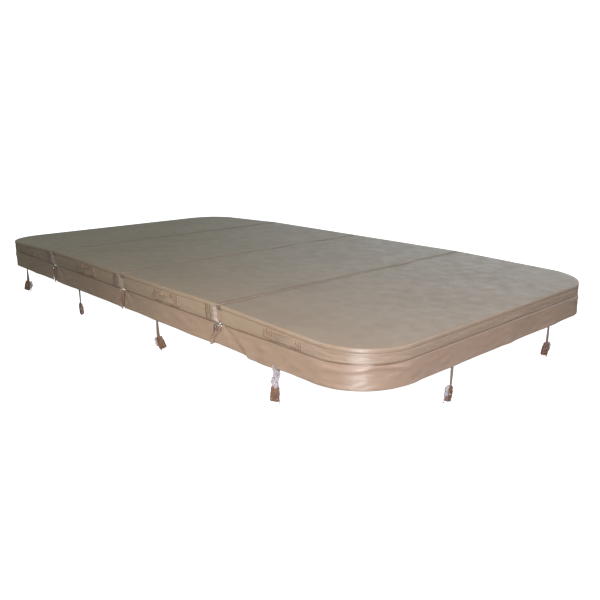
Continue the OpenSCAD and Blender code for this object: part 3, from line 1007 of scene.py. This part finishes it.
def make_tie(number):
    body = f"tie_{number:02d}"
    joint = JOINTS[f"{body}_swing"]
    seam, axis = Vector(joint["pos_m"]), Vector(joint["axis"])
    out = axis.cross(Vector((0, 0, 1)))
    like = (number - 1) % 6 + 1
    lean, twist = radians(TIE_LEAN[like]), radians(TIE_TWIST[like])
    lo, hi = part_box(f"lock_{number:02d}")
    half_t, half_w = sorted(((hi[0] - lo[0]) / 2, (hi[1] - lo[1]) / 2))
    top, height = hi[2], hi[2] - lo[2]

    # The strap: from the seam down to the lock, bending and twisting as the lock pulls it
    z = steps(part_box(f"tie_strap_{number:02d}")[1][2] - 0.5 * MM, top - 12 * MM, 5 * MM)
    depth = (z[0] - z) / (z[0] - z[-1])
    shift = -sin(lean) * 34 * MM * (depth - 0.45).clip(0) ** 2 * 1.6
    turn = twist * smooth(depth, 0.5, 1.0)
    path = places(seam.x, seam.y, z) + np.outer(shift, axis)
    facing = np.outer(np.cos(turn), out) + np.outer(np.sin(turn), axis)
    half = WEBBING_HALF
    outer = [(0.2, half), (0.8, half - 0.8), (0.9, half - 2.5), (0.7, half - 4), (0.75, 0)]
    outer += [(p, -v) for p, v in outer[-2::-1]]
    section = np.array(outer + [(-p, v) for p, v in outer[::-1]]) * MM
    strap = sweep(f"tie_webbing_{number:02d}", path, facing, section, WEBBING)
    belong(strap, body, "webbing", f"tie_strap_{number:02d}")

    # The lock's own axes, leaning about its top
    turned = Matrix((axis, -out, (0, 0, 1))).transposed()
    spin = Matrix.Rotation(twist, 3, "Z") @ Matrix.Rotation(lean, 3, "Y")
    origin = seam + axis * float(shift[-1]) + Vector((0, 0, top - seam.z))
    place = Matrix.Translation(origin) @ (turned @ spin).to_4x4()

    def plate(name, half_x, half_z, thick, at, material, corner=6 * MM, bevel=1.6 * MM, dish=0.0):
        """A rounded block with soft edges; dish sinks its front face in a shallow step."""
        cx, cy, cz = at
        edge = [(bevel, thick), (0.35 * bevel, thick - 0.35 * bevel), (0, thick - bevel)]
        profile = [(inset, -y) for inset, y in edge] + edge[::-1]
        if dish:
            front = [(4.2 * MM, -thick + dish), (3.4 * MM, -thick + dish), (2.4 * MM, -thick)]
            profile = [(bevel + inset, y) for inset, y in front] + profile
        rings = []
        for inset, y in profile:
            flat = rounded(half_x - inset, half_z - inset, max(corner - inset, 0.4 * MM), 4)
            rings.append([(cx + px, cy + y, cz + pz) for px, pz in flat])
        return loft(name, rings, material, place=place)

    body_half = (height - CLIP_HEIGHT) / 2
    body_z, key_z, front = -CLIP_HEIGHT - body_half, -height * 0.52, -half_t
    parts = [
        plate("housing", half_w, body_half, half_t, (0, 0, body_z), PLASTIC, 7 * MM, 2.2 * MM, 1.1 * MM),
        plate("collar", half_w - 4 * MM, 8 * MM, half_t - 3 * MM, (0, 0, -15 * MM), PLASTIC, 3 * MM),
        plate("tongue", half_w - 8 * MM, 6.5 * MM, half_t - 4.6 * MM, (0, 0, -6.5 * MM), PLASTIC, 2.5 * MM),
    ]
    for side in (-1, 1):
        at = (side * (half_w - 4.5 * MM), 0, -14 * MM)
        parts.append(plate("prong", 3.2 * MM, 10 * MM, half_t - 4 * MM, at, PLASTIC, 2.4 * MM, 1 * MM))
        at = (side * 15 * MM, front + 0.2 * MM, -height + 14 * MM)
        parts.append(disc("screw_head", place, at, 3.6 * MM, 1.2 * MM))
    parts.append(disc("key_barrel", place, (0, front + 0.6 * MM, key_z), 6.2 * MM, 2.2 * MM))
    # A near-black plate on the barrel stands for the keyhole: painted shade.
    at = (0, front - 1.5 * MM, key_z)
    parts.append(plate("keyhole_painted_shade", 0.9 * MM, 3.6 * MM, 0.5 * MM, at, KEYHOLE_SHADE, 0.7 * MM, 0.2 * MM))
    belong(joined(f"lock_body_{number:02d}", parts), body, "lock_plastic", f"lock_{number:02d}")
    make_bag(number, body, place, height, half_w, BAG_SIDE[like])


def disc(name, place, at, radius, thick):
    """A turned button: a bevelled cylinder whose axis is the lock's own Y."""
    x, y, z = at
    turns = np.linspace(0, TAU, 20, endpoint=False)
    rings = [
        places(x + radius * share * np.cos(turns), y - thick * depth, z + radius * share * np.sin(turns))
        for share, depth in ((0.55, 1.0), (0.8, 0.98), (0.93, 0.86), (1.0, 0.6), (1.0, -1.2), (0.9, -1.4))
    ]
    return loft(name, rings, METAL, place=place)


def film_material():
    s = Shader("clear_bag", Transmission_Weight=0.15, IOR=1.25, Specular_IOR_Level=0.6, Alpha=0.85)
    crumple = s.noise(s.where(), 120.0, 4.0, 0.7)
    # The grey and pale patches follow the crumples: painted shade and painted highlight on the film.
    s.put(s.bsdf, {
        "Base Color": s.mix(s.ramp(crumple, 0.35, 0.6), (0.30, 0.28, 0.31), (0.78, 0.76, 0.80)),
        "Roughness": s.ramp(crumple, 0.3, 0.7, 0.12, 0.4),
    })
    s.bump([(crumple, 1.5 * MM)])
    return s.material


BAG = film_material()


def make_bag(number, body, place, height, half_w, side):
    """A crumpled clear bag of keys and screws, tied on beside the lock, or over the strap where side is 0."""
    rng = np.random.default_rng(2000 + number)
    if side:
        half_x, half_y, top, low = 12 * MM, 7 * MM, 4 * MM, -height * 0.72
        centre, y = side * (half_w + 2 * MM), 2 * MM
    else:
        half_x, half_y, top, low = 17 * MM, 5.5 * MM, 112 * MM, -14 * MM
        centre, y = 0.0, 0.0
    turns = np.linspace(0, TAU, 22, endpoint=False)
    rings = []
    for t in np.linspace(0, 1, 20):
        neck = 1 - 0.25 * smooth(t, 0.9, 1.0)
        if side:
            neck = 0.30 + 0.70 * smooth(t, 0.0, 0.3) - 0.45 * smooth(t, 0.86, 1.0)
        jag = 1 + 0.16 * np.sin(turns * 3 + 9 * t + number) + 0.12 * np.sin(turns * 7 - 21 * t + number * 2)
        jag += 0.07 * rng.standard_normal(len(turns))
        drift = side * 5 * MM * sin(t * 3) + 1.5 * MM * sin(11 * t + number)
        rings.append(places(
            centre + drift + half_x * neck * jag * np.cos(turns),
            y + (half_y * neck + 1 * MM) * jag * np.sin(turns),
            top + (low - top) * t + 1.2 * MM * np.sin(5 * turns + 8 * t),
        ))
    bag = loft(f"key_bag_{number:02d}", rings, BAG, sharp=False, place=place)
    belong(bag, body, "film")

    # The keys in the bag, and the twisted end of the bag that hangs below the lock
    parts = []
    for k, lean in enumerate((-0.35, 0.3)):
        spot = place @ Matrix.Translation((centre, y, top + (low - top) * 0.6))
        spot = spot @ Matrix.Rotation(lean + 0.2 * side, 4, "Y")
        blade, bow = rounded(2.0 * MM, 11 * MM, 1 * MM, 2), rounded(5.5 * MM, 5.5 * MM, 4 * MM, 4)
        for outline, dz in ((blade, -8 * MM), (bow, 6 * MM)):
            rings = [
                places(outline[:, 0] * size, 1.4 * MM * k - 0.6 * MM + w, outline[:, 1] * size + dz)
                for size, w in ((0.85, -0.7 * MM), (1, -0.4 * MM), (1, 0.4 * MM), (0.85, 0.7 * MM))
            ]
            parts.append(loft("key", rings, METAL, place=spot))
    belong(joined(f"keys_{number:02d}", parts), body, "zip_metal")

    reach = steps(low + 4 * MM if side else -10 * MM, -height - 12 * MM, 4 * MM)
    share = (reach - reach[0]) / (reach[-1] - reach[0])
    x = centre + (side or 1) * (3 + 4 * np.sin(share * 2.6 + number)) * MM
    if not side:
        x += (half_w - 1 * MM) * smooth(share, 0.0, 0.2)
    local = places(x, y + 3 * MM + 2 * MM * np.sin(share * 5), reach)
    path = [place @ Vector(p) for p in local]
    out = [place.to_3x3() @ Vector((sin(9 * t), -cos(9 * t), 0)) for t in share]
    section = np.array([(0.5, -5), (0.8, 0), (0.5, 5), (-0.5, 5), (-0.8, 0.2), (-0.5, -5)]) * MM
    grow = (0.8 + 0.5 * smooth(share, 0.75, 0.95) - 0.7 * smooth(share, 0.96, 1.0))[:, None]
    name = f"bag_tail_{number:02d}"
    tail = sweep(name, path, out, section, BAG, lambda along, proud, up: (proud * grow, up * grow, 0 * up))
    belong(tail, body, "film")


for number in range(1, 13):
    make_tie(number)

# ---- Light, floor and sky ----


def area_light(name, at, aim, size, power, colour):
    light = bpy.data.lights.new(name, "AREA")
    light.shape, light.size = "DISK", size
    light.energy, light.color = power, colour
    obj = add_object(name, light)
    obj.location = at
    obj.rotation_euler = (Vector(at) - Vector(aim)).to_track_quat("Z", "Y").to_euler()
    obj.visible_camera = False
    return obj


area_light("flash", camera.location + Vector((0.1, 0.1, 0.55)), (1.2, -0.3, 0), 0.5, 142, (1.0, 0.905, 0.965))
glint = area_light("corner_glint", (3.36, -1.98, -0.36), (2.52, -1.03, 0.0), 0.5, 17, (0.93, 0.95, 1.0))
glint.visible_diffuse = False
area_light("end_fill", (4.3, 0.1, 0.15), (2.62, -0.05, -0.02), 0.5, 4.5, (1.0, 0.80, 1.0))
area_light("side_fill", (1.6, -2.25, 0.30), (1.6, -1.0, -0.02), 0.7, 8.5, (1.0, 0.94, 0.86))


def backdrop(name, points, faces):
    """A pale stage surface that is seen but doesn't light the object."""
    glow = {"Emission_Color": (1, 1, 1, 1), "Emission_Strength": 1.1}
    s = Shader(name, Roughness=0.9, Specular_IOR_Level=0.1, **glow)
    cloud = s.ramp(s.noise(s.where(), 3.0), 0.3, 0.7)
    s.put(s.bsdf, {"Base Color": s.mix(cloud, (0.80, 0.80, 0.80), (0.82, 0.82, 0.82))})
    obj = mesh_object(name, points, faces, s.material)
    obj.visible_diffuse = obj.visible_glossy = obj.visible_transmission = obj.visible_shadow = False
    return obj


floor_z = CAD_BOX[0].z - 30 * MM
FLOOR, DOME = 20.0, 19.0
corners = [(x * FLOOR, y * FLOOR, floor_z) for x, y in ((-1, -1), (1, -1), (1, 1), (-1, 1))]
backdrop("floor", corners, [(0, 1, 2, 3)])
turns = np.linspace(0, TAU, 48, endpoint=False)
rise = np.linspace(0, pi / 2 - 0.02, 14)[:, None]
dome = places(np.cos(rise) * np.cos(turns), np.cos(rise) * np.sin(turns), np.sin(rise)) * DOME - (0, 0, 1)
backdrop("backdrop", dome.reshape(-1, 3), tube_faces(14, 48, closed=[-1]))

# The sky: dim overhead, dark below, and a pale window's glow low down on the far side
world = bpy.data.worlds.new("sky")
world.use_nodes = True
bpy.context.scene.world = world
air = Graph(world.node_tree)
toward = air.add("ShaderNodeTexCoord", {}).outputs["Generated"]
height = air.add("ShaderNodeSeparateXYZ", {"Vector": toward}).outputs["Z"]
WINDOW = (0.30, 0.95, 0.0)
facing = air.add("ShaderNodeVectorMath", {0: toward, 1: WINDOW}, operation="DOT_PRODUCT").outputs["Value"]
band = air.times(air.ramp(height, -0.05, 0.02), air.ramp(height, 0.25, 0.75, 1.0, 0.0))
glow = air.times(air.ramp(facing, 0.16, 0.75), band)
dim = air.mix(air.ramp(height, -0.15, 0.1), (0.11, 0.115, 0.11), (0.23, 0.265, 0.25))
sky = air.mix(glow, dim, (1.20, 1.27, 1.33))
air.put(world.node_tree.nodes["Background"], {"Color": sky, "Strength": 1.0})
view = bpy.context.scene.view_settings
view.view_transform, view.look, view.exposure, view.gamma = "Standard", "None", 0, 1

# ---- Finishes for the CAD parts that stay in view ----

SOLIDS = {"vapour_wrap": FILM, "foam_core": FOAM, "steel_channel": STEEL, "zip_slider": METAL}
for kind, material in SOLIDS.items():
    for n in (1, 2, 3, 4):
        frame["nodes"][f"{kind}_{n}"].data.materials[0] = material
